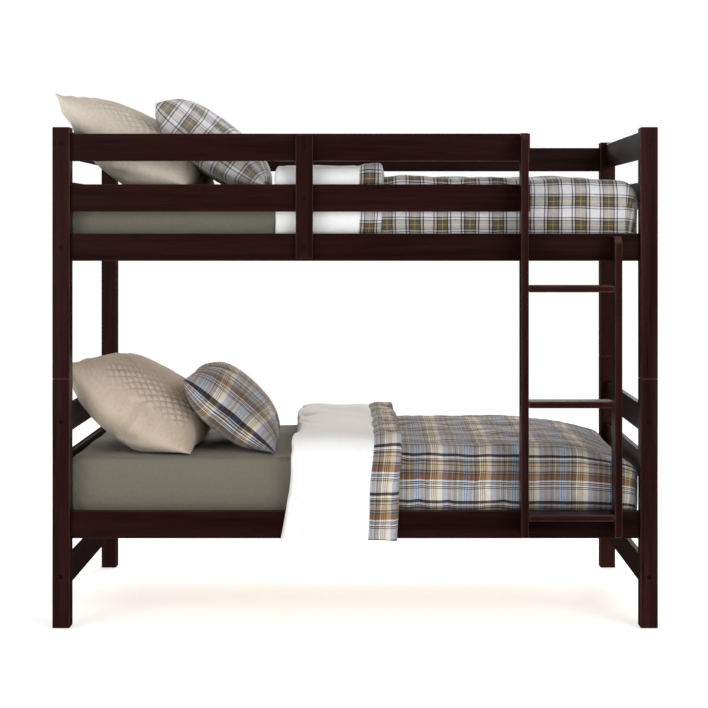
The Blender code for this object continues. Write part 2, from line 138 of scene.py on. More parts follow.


# ---------------- wood, steel

# Display colours of the stain and of the painted highlight on the eased edges, then the scales of the grain
# across and along the wood
STAIN_DARK = (26, 7, 6)
STAIN_WARM = (46, 17, 14)
PAINTED_EDGE_HIGHLIGHT = (74, 47, 42)
FIGURE_SCALES = (26.0, 1.1)
PORE_SCALES = (260.0, 9.0)


def stained_wood(axis, brightness):
    """Espresso stain on rubberwood, with its grain along one axis and a painted highlight on its eased edges.
    """
    name = f"espresso_wood_{axis}_{brightness:.1f}"
    made, tree, shader = material(name, coat_weight=0.04, coat_roughness=0.2, specular_ior_level=0.14)
    place = node(tree, "TexCoord").outputs["Object"]
    figure = noise(tree, drawn_out(tree, place, axis, *FIGURE_SCALES), 1.0, 5.0, 0.6)
    pores = noise(tree, drawn_out(tree, place, axis, *PORE_SCALES), 1.0, 2.0, 0.5)
    stains_and_highlight = (STAIN_DARK, STAIN_WARM, PAINTED_EDGE_HIGHLIGHT)
    dark, warm, highlight_colour = (tuple(c * brightness for c in linear(*stain)) for stain in stains_and_highlight)
    colour = mixed(tree, spread(tree, figure, 0.32, 0.72), dark, warm)
    colour = shaded(tree, colour, spread(tree, pores, 0.30, 0.44, 0.55, 1.0))
    # An eased edge faces between two axes, so its longest normal component is well under one
    normal = node(tree, "NewGeometry").outputs["True Normal"]
    size = node(tree, "VectorMath", {0: normal}, operation="ABSOLUTE").outputs[0]
    parts = node(tree, "SeparateXYZ", {0: size}).outputs
    longest = maths(tree, "MAXIMUM", maths(tree, "MAXIMUM", parts[0], parts[1]), parts[2])
    # Painted highlight: the eased edges are made paler, in uneven patches, where light catches them
    patchy = spread(tree, noise(tree, place, 9.0, 2.0), 0.35, 0.65, 0.35, 1.0)
    edge_highlight = maths(tree, "MULTIPLY", spread(tree, longest, 0.985, 0.90), patchy)
    colour = mixed(tree, edge_highlight, colour, highlight_colour)
    roughness = spread(tree, figure, 0.3, 0.75, 0.30, 0.44)
    height = maths(tree, "ADD", maths(tree, "MULTIPLY", pores, 0.6), maths(tree, "MULTIPLY", figure, 0.4))
    attach(tree, shader, colour, roughness, height, 0.0006, 0.35)
    return made


def pale_slats():
    """Plain pine with a clear grain."""
    made, tree, shader = material("pale_slats")
    place = node(tree, "TexCoord").outputs["Object"]
    grain_place = node(tree, "Mapping", {"Vector": place, "Scale": (34.0, 1.4, 20.0)}).outputs[0]
    figure = noise(tree, grain_place, 1.0, 4.0, 0.6)
    colour = mixed(tree, spread(tree, figure, 0.3, 0.7), linear(222, 190, 146), linear(186, 146, 100))
    attach(tree, shader, colour, spread(tree, figure, 0.3, 0.7, 0.5, 0.65), figure, 0.0008, 0.4)
    return made


def steel():
    """Dark zinc plating, a little uneven."""
    made, tree, shader = material("dark_zinc_steel", metallic=1.0)
    place = node(tree, "TexCoord").outputs["Object"]
    blotch = noise(tree, place, 420.0, 3.0)
    colour = mixed(tree, blotch, linear(40, 34, 33), linear(78, 70, 67))
    attach(tree, shader, colour, spread(tree, blotch, 0.3, 0.7, 0.42, 0.58), blotch, 0.0002, 0.4)
    return made


# ---------------- fabrics

# Display colours from 0 to 255, then how strongly the yarn covers the one it crosses
YARNS = {
    "cream": (238, 228, 200, 1.2),
    "ochre": (232, 206, 160, 1.0),
    "red": (96, 44, 34, 1.2),
    "lavender": (160, 152, 170, 1.0),
    "brown_grey": (132, 116, 100, 1.0),
    "light_blue": (142, 163, 192, 1.05),
    "rust": (100, 50, 26, 1.3),
    "navy": (16, 16, 26, 2.4),
    "white": (236, 236, 236, 1.8),
    "fog": (190, 195, 204, 1.0),
    "stone": (146, 134, 118, 1.0),
    "dusk": (40, 36, 36, 1.3),
    "charcoal": (26, 26, 32, 1.7),
    "pearl": (222, 218, 222, 1.2),
    "bright": (242, 240, 243, 1.6),
    "olive": (104, 92, 74, 0.85),
    "straw": (214, 200, 120, 1.2),
}
COVER_UNIT = 4.0  # the ramps carry the cover in their alpha, which only reaches 1
DISPLAY_GAMMA = 2.2
PALEST = 250
CHECK_THREADS = 0.0016
PLAIN_THREADS = 0.0012
THREAD_SHARE = 0.14  # how far a single thread changes which of the two systems shows
WAVER = 0.006
STITCH_WIDTH = 0.34
# How strongly, and how dark, the painted shade in the quilting grooves is
GROOVE_SHADE_STRENGTH = 0.55
GROOVE_SHADE_TONE = 0.42

# Bands across each fabric, as (millimetres, yarn), repeated without end
BLUE_WARP = [
    (5, "cream"), *[(2, "red"), (5, "ochre")] * 3, (14, "cream"), (17, "lavender"), (14, "brown_grey"),
    (2, "fog"), (8, "brown_grey"), (2, "dusk"), (8, "brown_grey"), (2, "fog"), (14, "brown_grey"),
    *[(6, "light_blue"), (2, "dusk")] * 2, (6, "light_blue"), (12, "brown_grey"), (2, "fog"),
    (4, "brown_grey"), (2, "dusk"), (14, "brown_grey"),
]
BLUE_WEFT = [
    (10, "navy"), (5, "fog"), (3, "white"), (3, "dusk"), (3, "fog"), (7, "dusk"), (7, "stone"), (3, "dusk"),
    (17, "stone"), (5, "dusk"), (3, "stone"), (6, "dusk"), (18, "rust"),
    *[(3, "fog"), (3, "white"), (3, "navy"), (3, "fog"), (3, "dusk")] * 2, (38, "fog"),
]


def grey_bands(bright, charcoal, pearl, olive):
    outline = [(charcoal, "charcoal"), (pearl, "pearl"), (charcoal, "charcoal")]
    return [(bright, "bright"), *outline, (olive, "olive"), (2, "straw"), (olive, "olive"), *outline]


GREY_WARP = grey_bands(bright=31, charcoal=4, pearl=7, olive=15)
GREY_WEFT = grey_bands(bright=29, charcoal=3, pearl=6, olive=13)


def faded(channel, paleness):
    """A display value made paler, or darker when paleness is below 0."""
    return channel + (PALEST - channel) * paleness if paleness > 0 else channel * (1 + paleness)


def bands_ramp(tree, coordinate, bands, paleness):
    """The display colour and the cover of the band that a coordinate in metres falls in."""
    total = sum(width for width, _ in bands)
    ramp = node(tree, "ValToRGB")
    ramp.color_ramp.interpolation = "CONSTANT"
    repeated = maths(tree, "FRACT", maths(tree, "DIVIDE", coordinate, total / 1000))
    tree.links.new(repeated, ramp.inputs[0])
    stops = ramp.color_ramp.elements
    start = 0.0
    for number, (width, yarn) in enumerate(bands):
        stop = stops[number] if number < 2 else stops.new(start / total)
        stop.position = start / total
        *display, cover = YARNS[yarn]
        stop.color = (*(faded(channel, paleness) / 255 for channel in display), cover / COVER_UNIT)
        start += width
    return ramp.outputs


def weave(tree, across, along, pitch):
    """Height of a plain weave with threads at the given pitch."""
    turns = 2 * math.pi / pitch
    first = maths(tree, "SINE", maths(tree, "MULTIPLY", across, turns))
    second = maths(tree, "SINE", maths(tree, "MULTIPLY", along, turns))
    return maths(tree, "MULTIPLY", first, second)


def cloth_place(tree):
    place = node(tree, "Attribute", attribute_name=CLOTH, attribute_type="GEOMETRY").outputs["Vector"]
    parts = node(tree, "SeparateXYZ", {0: place})
    return place, parts.outputs[0], parts.outputs[1]


def check_cotton(name, warp, weft, paleness=0.0, weft_shift=0.0):
    """Yarn-dyed check: both thread systems show, so that the bands mix where they cross."""
    made, tree, shader = material(name, sheen_weight=0.25, sheen_roughness=0.5, specular_ior_level=0.25)
    place, across, along = cloth_place(tree)
    waver = maths(tree, "MULTIPLY", maths(tree, "SUBTRACT", noise(tree, place, 7.0, 2.0), 0.5), WAVER)
    threads = weave(tree, across, along, CHECK_THREADS)
    warp_colour, warp_cover = bands_ramp(tree, maths(tree, "ADD", across, waver), warp, paleness)
    shifted = maths(tree, "ADD", along, weft_shift)
    weft_colour, weft_cover = bands_ramp(tree, maths(tree, "ADD", shifted, waver), weft, paleness)
    share = maths(tree, "DIVIDE", weft_cover, maths(tree, "ADD", weft_cover, warp_cover))
    share = maths(tree, "ADD", share, maths(tree, "MULTIPLY", threads, THREAD_SHARE), clamp=True)
    display = mixed(tree, share, warp_colour, weft_colour)
    colour = node(tree, "Gamma", {"Color": display, "Gamma": DISPLAY_GAMMA}).outputs[0]
    fade = spread(tree, noise(tree, place, 60.0, 4.0), 0.3, 0.7, 0.90, 1.06)
    roughness = spread(tree, threads, -1, 1, 0.82, 0.95)
    attach(tree, shader, shaded(tree, colour, fade), roughness, threads, 0.0003, 0.5)
    return made


def quilting_lines(tree, across, along):
    """1 on the quilting stitching, which runs both ways at 45 degrees to the threads: where the grooves get
    painted shade.
    """
    inside = node(tree, "Attribute", attribute_name=QUILTED, attribute_type="GEOMETRY").outputs["Fac"]
    lines = []
    for operation, cell in (("ADD", QUILT_CELL[0]), ("SUBTRACT", QUILT_CELL[1])):
        diagonal = maths(tree, "MULTIPLY", maths(tree, operation, across, along), DIAGONAL)
        wave = maths(tree, "SINE", maths(tree, "MULTIPLY", diagonal, math.pi / cell))
        lines.append(spread(tree, maths(tree, "ABSOLUTE", wave), STITCH_WIDTH, 0.0))
    return maths(tree, "MULTIPLY", maths(tree, "MAXIMUM", lines[0], lines[1]), inside)


def plain_cotton(name, colour, slub=0.08, shaded_grooves=False):
    """Plain woven cotton with slightly uneven threads, with painted shade in the grooves along its quilting
    stitching.
    """
    made, tree, shader = material(name, sheen_weight=0.2, sheen_roughness=0.45, specular_ior_level=0.25)
    place, across, along = cloth_place(tree)
    threads = weave(tree, across, along, PLAIN_THREADS)
    uneven = spread(tree, noise(tree, place, 90.0, 4.0), 0.3, 0.7, 1.0 - slub, 1.0 + slub)
    shade = shaded(tree, colour, uneven)
    if shaded_grooves:
        # Painted shade: the grooves along the quilting are darkened in the colour
        groove_shade = maths(tree, "MULTIPLY", quilting_lines(tree, across, along), GROOVE_SHADE_STRENGTH)
        shade = mixed(tree, groove_shade, shade, tuple(c * GROOVE_SHADE_TONE for c in colour))
    attach(tree, shader, shade, spread(tree, threads, -1, 1, 0.8, 0.93), threads, 0.0003, 0.45)
    return made


# ---------------- mesh helpers


def ripple(across, along, wavelength, seed, waves=7):
    """A smooth, seeded wavy field from about -1 to 1."""
    draw = np.random.default_rng(seed)
    total = np.zeros_like(across)
    for _ in range(waves):
        turn = draw.uniform(0, 2 * math.pi)
        size = 2 * math.pi / (wavelength * draw.uniform(0.7, 1.5))
        phase = draw.uniform(0, 2 * math.pi)
        total += np.sin(size * (across * math.cos(turn) + along * math.sin(turn)) + phase)
    return total / math.sqrt(waves * 2)


def smooth_step(value, start, end):
    """0 before the start and 1 past the end, whichever of the two is higher."""
    share = np.clip((value - start) / (end - start), 0, 1)
    return share * share * (3 - 2 * share)


def quilt_grid(rows, columns):
    """Numbers of the vertices of two layers that share their border."""
    top = np.arange(rows * columns).reshape(rows, columns)
    under = top.copy()
    under[1:-1, 1:-1] = rows * columns + np.arange((rows - 2) * (columns - 2)).reshape(rows - 2, columns - 2)
    return top, under


def two_layers(name, top, bottom, cloth, materials, face_material=None):
    """A closed piece: a top and a bottom layer on one grid, sewn together round the border."""
    rows, columns = top.shape[:2]
    upper, under = quilt_grid(rows, columns)
    points = np.concatenate([top.reshape(-1, 3), bottom[1:-1, 1:-1].reshape(-1, 3)])
    over = [upper[:-1, :-1], upper[1:, :-1], upper[1:, 1:], upper[:-1, 1:]]
    below = [under[:-1, :-1], under[:-1, 1:], under[1:, 1:], under[1:, :-1]]
    faces = np.concatenate([np.stack(over, -1).reshape(-1, 4), np.stack(below, -1).reshape(-1, 4)])
    mesh = bpy.data.meshes.new(name)
    mesh.from_pydata(points.tolist(), [], faces.tolist())
    flat = np.concatenate([cloth.reshape(-1, 2), cloth[1:-1, 1:-1].reshape(-1, 2)])
    layer = np.where(np.arange(len(flat)) < rows * columns, TOP_LAYER, BOTTOM_LAYER)
    stored = mesh.attributes.new(CLOTH, "FLOAT_VECTOR", "POINT")
    stored.data.foreach_set("vector", np.column_stack([flat, layer]).ravel())
    for made in materials:
        mesh.materials.append(made)
    if face_material is not None:
        mesh.polygons.foreach_set("material_index", np.concatenate([m.ravel() for m in face_material]))
    mesh.polygons.foreach_set("use_smooth", np.ones(len(faces), bool))
    return add_object(name, mesh)


def add_object(name, data):
    obj = bpy.data.objects.new(name, data)
    bpy.context.scene.collection.objects.link(obj)
    return obj


def read_vectors(collection, key):
    flat = np.zeros(len(collection) * 3)
    collection.foreach_get(key, flat)
    return flat.reshape(-1, 3)


def coordinates(obj):
    return read_vectors(obj.data.vertices, "co")


def set_coordinates(obj, points):
    obj.data.vertices.foreach_set("co", points.ravel())
    obj.data.update()


def cloth_coordinates(obj):
    return read_vectors(obj.data.attributes[CLOTH].data, "vector")


def normals(obj):
    return read_vectors(obj.data.vertex_normals, "vector")


def subdivide(obj, levels=1):
    """Smooths the piece and keeps the finer mesh."""
    smoothing = obj.modifiers.new("smooth", "SUBSURF")
    smoothing.levels = levels
    smoothing.render_levels = levels
    evaluated = obj.evaluated_get(bpy.context.evaluated_depsgraph_get())
    finer = bpy.data.meshes.new_from_object(evaluated)
    obj.modifiers.clear()
    obj.data = finer


CLOTH_QUALITY = 5
CLOTH_MASS = 0.3


def swell(obj, pressure, frames, cap, pinned=None, slack=0.0, stiffness=15.0, bending=0.2):
    """Fills a closed cloth with Blender's cloth simulation and keeps its shape in the mesh.

    cap is how far a point may move, pinned the numbers of the points that stay, and slack how much
    longer the cloth is than the shape it starts from.
    """
    start = coordinates(obj)
    scene = bpy.context.scene
    cloth = obj.modifiers.new("cloth", "CLOTH")
    settings = cloth.settings
    settings.quality = CLOTH_QUALITY
    settings.mass = CLOTH_MASS
    settings.tension_stiffness = stiffness
    settings.compression_stiffness = stiffness
    settings.shear_stiffness = stiffness / 3
    settings.bending_stiffness = bending
    settings.use_pressure = True
    settings.uniform_pressure_force = pressure
    settings.shrink_min = -slack
    settings.effector_weights.gravity = 0
    if pinned is not None:
        group = obj.vertex_groups.new(name="pinned")
        group.add([int(n) for n in pinned], 1.0, "REPLACE")
        settings.vertex_group_mass = "pinned"
    cloth.point_cache.frame_start = 1
    cloth.point_cache.frame_end = frames
    for number in range(1, frames + 1):
        scene.frame_set(number)
    end = coordinates(obj.evaluated_get(bpy.context.evaluated_depsgraph_get()))
    obj.modifiers.clear()
    obj.vertex_groups.clear()
    scene.frame_set(1)
    move = end - start
    length = np.linalg.norm(move, axis=1, keepdims=True)
    set_coordinates(obj, start + move * np.minimum(1.0, cap / np.maximum(length, TINY)))


def wrap(across, along, low, high, top, radius):
    """Lays a flat cloth over a box: it runs over the rounded edges and hangs down beside it.

    across and along are the cloth's points in metres, counted as X and Y on the top of the box. Returns
    the places, the outward normals, the way beyond the edge and its direction.
    """
    beyond = []
    for value, start, end in ((across, low[0], high[0]), (along, low[1], high[1])):
        past = np.maximum(value - (end - radius), 0) - np.maximum((start + radius) - value, 0)
        beyond.append(past)
    size = [np.abs(part) for part in beyond]
    distance = np.maximum(size[0], size[1])
    ratio = np.minimum(size[0], size[1]) / np.maximum(distance, TINY)
    azimuth = np.where(size[0] > size[1], math.pi / 4 * ratio, math.pi / 2 - math.pi / 4 * ratio)
    direction = [np.cos(azimuth) * np.sign(beyond[0]), np.sin(azimuth) * np.sign(beyond[1])]
    angle = np.clip(distance / radius, 0, math.pi / 2)
    square = (direction[0] ** 4 + direction[1] ** 4 + TINY) ** -0.25
    out = radius * np.sin(angle) * np.where(distance > 0, square, 1.0)
    down = radius * (1 - np.cos(angle)) + np.maximum(distance - radius * math.pi / 2, 0)
    place = np.stack([
        across - beyond[0] + direction[0] * out,
        along - beyond[1] + direction[1] * out,
        top - down,
    ], -1)
    normal = np.stack([direction[0] * np.sin(angle), direction[1] * np.sin(angle), np.cos(angle)], -1)
    return place, normal, distance, direction


def hang(drop, radius):
    """Length of cloth from the start of a rounded edge to a given drop below the top."""
    return drop - radius + radius * math.pi / 2


def border(across, along, width):
    """0 on the edge of the cloth, rising roundly to 1 at the given width."""
    insets = [across - across.min(), across.max() - across, along - along.min(), along.max() - along]
    share = np.clip(np.minimum.reduce(insets) / width, 0, 1)
    return np.sqrt(1 - (1 - share) ** 2)


def evenly(low, high, step):
    """Values from low to high, near enough to the given step apart."""
    return np.linspace(low, high, max(4, round((high - low) / step)) + 1)


def flat_grid(low, high, step):
    """Points of a flat cloth, near enough to the given step apart."""
    return np.meshgrid(evenly(low[0], high[0], step), evenly(low[1], high[1], step), indexing="ij")


# ---------------- beds

FOOT_DROOP = {"lower": 0.034, "upper": 0.008}
DROOP_START = 0.195  # before the foot end of the mattress
DROOP_END = 0.065  # past it
MIDDLE_SAG = 0.6
MOST_DROOP = 1.2
SHEET_RADIUS = 0.014
SHEET_STEP = 0.014
SHEET_SINK = 0.002
SHEET_HEM = 0.008  # how far the sheet is drawn in under the mattress
PIPING_WIDTH = 0.006
PULL_WAVES = 95


def droop(points, level):
    """Lowers the foot end, where the bedding is pulled in tight: nothing at the rails, most on top."""
    low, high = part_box(f"{level}_mattress")
    rail_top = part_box(f"{level}_side_rail_front")[1].z
    across_bed = (points[..., 1] - (low.y + high.y) / 2) / (high.y - low.y) * 2
    sag = 1 + MIDDLE_SAG * np.clip(1 - across_bed ** 2, 0, 1)
    near_foot = smooth_step(points[..., 0], high.x - DROOP_START, high.x + DROOP_END)
    above_rail = np.clip((points[..., 2] - rail_top) / (high.z - rail_top), 0, MOST_DROOP)
    points[..., 2] -= FOOT_DROOP[level] * sag * near_foot * above_rail
    return points


def fitted_mattress(level, sheet):
    """A mattress in a fitted sheet: rounded edges, piping that shows through, and pull folds."""
    low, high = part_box(f"{level}_mattress")
    reach = hang(high.z - low.z, SHEET_RADIUS)
    start = (low.x + SHEET_RADIUS - reach, low.y + SHEET_RADIUS - reach)
    end = (high.x - SHEET_RADIUS + reach, high.y - SHEET_RADIUS + reach)
    across, along = flat_grid(start, end, SHEET_STEP)
    place, normal, distance, _ = wrap(across, along, low, high, high.z, SHEET_RADIUS)
    piping = 0.0018 * np.exp(-(((distance - SHEET_RADIUS * 0.8) / PIPING_WIDTH) ** 2))
    hollows = 0.0016 * ripple(across, along, 0.22, 3) + 0.0008 * ripple(across, along, 0.06, 4)
    to_ends = np.minimum(np.abs(across - (low.x + high.x) / 2) / (high.x - low.x) * 2, 1)
    pulled = smooth_step(to_ends, 0.8, 1.0) * smooth_step(distance, 0, 0.03)
    pulls = 0.0014 * pulled * np.sin((across + along) * PULL_WAVES)
    lowered = smooth_step(distance, reach - 0.02, reach)
    raised = (piping + hollows + pulls) * (1 - lowered) - SHEET_SINK * (1 + 2 * lowered)
    place += normal * raised[..., None]
    place[..., 2] = np.maximum(place[..., 2], low.z)
    x_flat = np.interp(across, (start[0], end[0]), (low.x + SHEET_HEM, high.x - SHEET_HEM))
    y_flat = np.interp(along, (start[1], end[1]), (low.y + SHEET_HEM, high.y - SHEET_HEM))
    base = np.stack([x_flat, y_flat, np.full_like(x_flat, low.z)], -1)
    cloth = np.stack([across, along], -1)
    obj = two_layers(f"{level}_mattress_in_sheet", droop(place, level), base, cloth, [sheet])
    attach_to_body(obj, f"{level}_mattress")
    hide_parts(f"{level}_mattress")


DUVETS = {
    "lower": {
        "slot": "blue_check_cotton", "seed": 11, "side": 0.026, "foot_top": 0.012, "head_inset": 0.030,
        "warp_start": 0.2507, "weft_start": 0.062, "fold_shift": -0.326, "fold_weft": 0.013,
        "fold_outside": True, "fold_head": 0.008, "white_end": 0.052, "fold_end": 0.158,
        "fold_side": 0.026, "flare": 0.050,
    },
    "upper": {
        "slot": "grey_check_cotton", "seed": 23, "side": 0.011, "foot_top": 0.030, "head_inset": 0.004,
        "warp_start": 0.1377, "weft_start": 0.031, "fold_shift": 0.020, "fold_weft": 0.0,
        "fold_outside": False, "fold_head": -0.016, "white_end": 0.010, "fold_end": 0.100,
        "fold_side": 0.007, "flare": 0.0,
    },
}
EDGE_RADIUS = 0.030
TOP_THICKNESS = 0.030
CROWN_HEIGHT = 0.008  # how much thicker a duvet is along its middle
TUCKED_THICKNESS = 0.010
PRESSED_THICKNESS = 0.003  # at the side, under a fold that is tucked in with it
FOOT_THICKNESS = 0.015
LEAST_THICKNESS = 0.006
DUVET_STEP = 0.013
DUVET_RIM = 0.024
TUCK_DEPTH = 0.028  # below the top of the side rail
FOOT_START_X = 0.58
PAST_HEAD = 1.0  # the cloth has no rounded edge at its head end
WHITE_ROWS = 3


def duvet_body(level, check, white):
    """The duvet over the mattress: it thins towards the foot and drops beside the mattress."""
    spec = DUVETS[level]
    mattress_low, mattress_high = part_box(f"{level}_mattress")
    duvet_low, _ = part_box(f"{level}_duvet")
    _, rail_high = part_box(f"{level}_side_rail_front")
    top = mattress_high.z + CLEARANCE
    head_x = duvet_low.x + spec["head_inset"]
    low = (head_x - PAST_HEAD, mattress_low.y - CLEARANCE)
    high = (mattress_high.x + CLEARANCE, mattress_high.y + CLEARANCE)
    reach = hang(top - (rail_high.z - TUCK_DEPTH), EDGE_RADIUS)
    start = (head_x, low[1] + EDGE_RADIUS - reach)
    end = (high[0] - EDGE_RADIUS + reach, high[1] - EDGE_RADIUS + reach)
    across, along = flat_grid(start, end, DUVET_STEP)
    place, normal, distance, direction = wrap(across, along, low, high, top, EDGE_RADIUS)
    foot = smooth_step(across, FOOT_START_X, high[0] - 0.004)
    over_edge = np.sin(np.clip(distance / EDGE_RADIUS, 0, math.pi / 2))
    tucked = smooth_step(place[..., 2], rail_high.z + 0.030, rail_high.z + 0.002)
    pressed = np.zeros_like(across)
    if not spec["fold_outside"]:
        pressed = smooth_step(across, spec["fold_end"] + 0.05, spec["fold_end"] - 0.03)
    side = spec["side"] + (TUCKED_THICKNESS - spec["side"]) * tucked
    side = side + (PRESSED_THICKNESS - side) * pressed
    side = side + (FOOT_THICKNESS - side) * np.abs(direction[0])
    off_middle = (along - (low[1] + high[1]) / 2) / (high[1] - low[1]) * 2
    crown = TOP_THICKNESS + CROWN_HEIGHT * (1 - off_middle ** 2)
    thick_top = crown - (crown - spec["foot_top"]) * foot
    puffs = 0.006 * ripple(across, along, 0.24, spec["seed"])
    puffs += 0.003 * ripple(across, along, 0.09, spec["seed"] + 1)
    puffs *= (1 - 0.72 * over_edge) * (1 - 0.5 * foot) * (1 - tucked) * (1 - pressed * over_edge)
    thick = thick_top * (1 - over_edge) + side * over_edge + puffs
    thick = np.maximum(thick, LEAST_THICKNESS) * border(across, along, DUVET_RIM)
    # The filling takes more of the check round the edge than the shape under it
    grown = np.minimum(distance, EDGE_RADIUS * math.pi / 2) * spec["side"] / EDGE_RADIUS
    warp = across + grown * direction[0] - spec["warp_start"]
    weft = along + grown * direction[1]
    cloth = np.stack([warp, weft.min() + spec["weft_start"] - weft], -1)
    over = np.zeros_like(across[1:, 1:], int)
    over[:WHITE_ROWS] = 1
    under = np.ones_like(over)
    outer = droop(place + normal * thick[..., None], level)
    inner = droop(place, level)
    obj = two_layers(f"{level}_duvet_body", outer, inner, cloth, [check, white], (over, under))
    fill_duvet(obj, across.shape, 14, spec["side"] / 4, 0.05)
    declare_duvet(obj, level)


def fill_duvet(obj, grid, frames, cap, slack):
    """Fills a duvet while its underside stays where it lies."""
    _, lower_layer = quilt_grid(*grid)
    swell(obj, 2.0, frames, cap, lower_layer.ravel(), slack)
    subdivide(obj)


def declare_duvet(obj, level):
    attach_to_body(obj, f"{level}_duvet")
    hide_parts(f"{level}_duvet")


FOLD_RADIUS = 0.034
FOLD_ROW_STEP = 0.0095
FOLD_STEP = 0.012
FOLD_THICKNESS = 0.036
FOLD_RIM = 0.010
FOLD_SINK = 0.004  # into the side of the duvet under it
FOLD_BACK_DROP = 0.12
FOLD_BEFORE_RAIL = 0.0025
FOLD_BELOW_RAIL = 0.006
TUCKED_FOLD_BOTTOM = 0.085  # above the bottom of the side rail
HANGING_LENGTH = 0.35
ENDLESS = 5.0  # the fold has no rounded edges along the bed
SEAM_WIDTH = 0.006
HEM_INSET = 0.022


def duvet_fold(level, check, white):
    """The head end of the duvet, folded back on top: white underside, then a rolled edge in the check."""
    spec = DUVETS[level]
    duvet_low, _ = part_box(f"{level}_duvet")
    mattress_low, mattress_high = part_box(f"{level}_mattress")
    rail_low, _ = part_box(f"{level}_side_rail_front")
    radius = FOLD_RADIUS
    side = spec["fold_side"]
    top = mattress_high.z + CLEARANCE + TOP_THICKNESS + CROWN_HEIGHT
    if spec["fold_outside"]:
        front = rail_low.y - FOLD_BEFORE_RAIL
        front_drop = top - (rail_low.z - FOLD_BELOW_RAIL)
    else:
        front = mattress_low.y - spec["side"] + FOLD_SINK
        front_drop = top - (rail_low.z + TUCKED_FOLD_BOTTOM)
    back = mattress_high.y + spec["side"] - FOLD_SINK
    low = (-ENDLESS, front)
    high = (ENDLESS, back)
    front_hem = front + radius - hang(front_drop, radius)
    back_hem = back - radius + hang(FOLD_BACK_DROP, radius)
    width = spec["fold_end"] - duvet_low.x
    shares = np.linspace(0, 1, round(width / FOLD_ROW_STEP) + 1)
    share, along = np.meshgrid(shares, evenly(front_hem, back_hem, FOLD_STEP), indexing="ij")
    _, _, distance, direction = wrap(share, along, low, high, top, radius)
    hanging = np.where(direction[1] < 0, np.maximum(distance - radius, 0), 0) / HANGING_LENGTH
    left = duvet_low.x + spec["fold_head"] + 0.016 * smooth_step(along, 0.40, -0.40)
    left -= spec["flare"] * hanging
    right = spec["fold_end"] - 0.018 * smooth_step(along, 0.0, 0.5) - 0.014 * hanging
    sway = 0.004 * ripple(share * width, along, 0.25, spec["seed"] + 5)
    across = left + (right - left) * share + sway
    tips = np.exp(-((share / 0.05) ** 2)) + np.exp(-(((1 - share) / 0.05) ** 2))
    along = along - 0.007 * tips * smooth_step(hanging, 0.5, 1.0)
    place, normal, distance, direction = wrap(across, along, low, high, top, radius)
    # The strip of check at the free end bulges like a roll, and a seam parts it from the white side
    seam = (spec["white_end"] - duvet_low.x) / width
    roll = smooth_step(share, seam - 0.02, seam + 0.10)
    over_edge = np.sin(np.clip(distance / radius, 0, math.pi / 2))
    thick_top = FOLD_THICKNESS + 0.008 * roll
    thick = thick_top * (1 - over_edge) + (side * (1 + 0.15 * roll)) * over_edge
    thick += 0.0045 * ripple(share * width, along, 0.16, spec["seed"] + 7) * (1 - 0.6 * over_edge)
    thick += 0.0035 * ripple(share * width, along * 1.6, 0.06, spec["seed"] + 9) * roll
    thick -= 0.005 * np.exp(-(((share - seam) * width / SEAM_WIDTH) ** 2))
    from_hem = along - along.min()
    thick -= 0.006 * np.exp(-(((from_hem - HEM_INSET) / SEAM_WIDTH) ** 2))
    thick = np.maximum(thick, LEAST_THICKNESS) * border(share * width, along, FOLD_RIM)
    weft = along + np.minimum(distance, radius * math.pi / 2) * side / radius * direction[1]
    cloth = np.stack([share * width + spec["fold_shift"], spec["fold_weft"] - (weft - weft.min())], -1)
    over = np.where(share[:-1, :-1] < seam - 0.5 / len(share), 1, 0)
    under = np.zeros_like(over)
    outer = place + normal * thick[..., None]
    obj = two_layers(f"{level}_duvet_fold", outer, place, cloth, [check, white], (over, under))
    fill_duvet(obj, share.shape, 12, side / 4, 0.06)
    declare_duvet(obj, level)


# ---------------- pillows

# Near and far corners as (x, z): the high pair rests on the end boards or the pillow behind
PILLOWS = {
    "lower_back": {
        "near": ((-0.984, 0.876), (-0.552, 0.568)), "far": ((-0.915, 0.806), (-0.545, 0.580)),
        "thickness": 0.266, "seam_drop": 0.040, "quilted": True, "flip": 1, "blunt": 1.5, "taper": 0.06,
    },
    "lower_front": {
        "near": ((-0.5885, 0.823), (-0.270, 0.567)), "far": ((-0.575, 0.822), (-0.300, 0.574)),
        "thickness": 0.198, "seam_drop": 0.008, "quilted": False, "flip": 1, "blunt": 0.6, "taper": -0.06,
        "check_start": (-0.118, 0.012),
    },
    "upper_back": {
        "near": ((-1.016, 1.793), (-0.572, 1.476)), "far": ((-0.955, 1.670), (-0.530, 1.483)),
        "thickness": 0.255, "seam_drop": 0.035, "quilted": True, "flip": -1, "blunt": 0.8, "taper": 0.15,
    },
    "upper_front": {
        "near": ((-0.682, 1.762), (-0.308, 1.476)), "far": ((-0.664, 1.731), (-0.318, 1.486)),
        "thickness": 0.200, "seam_drop": 0.010, "quilted": False, "flip": -1, "blunt": 5.0, "taper": -0.08,
        "check_start": (0.020, 0.040),
    },
}
PILLOW_STEP = 0.0095
CHECK_DRAWN_OUT = 0.8
PILLOW_PULL_IN = 0.05
CROWN_POWERS = (2.4, 2.8)  # how square the filled outline is, down the lean and across the bed
CROWN_ROUNDNESS = 0.58
AT_SEAM = 1e-4
SEAM_CURVE_DEGREE = 4
WRINKLED_SHARE = 0.4  # how much of the simulated creasing in the plane of the cloth is kept
FILLED_SHARE = 0.3  # how much of the height comes from the simulated filling
SIMULATED_SEAM = 3.0  # how fast the simulated height takes part, away from the seams
SOFTENING_ROUNDS = 8
SEAM_DROP_REACH = 0.30
CONTACT_SOFTNESS = 0.012
QUILT_HEIGHT = 0.0075
SEAM_SLACK = 1.03  # cloth from seam to seam, for each metre between the tips


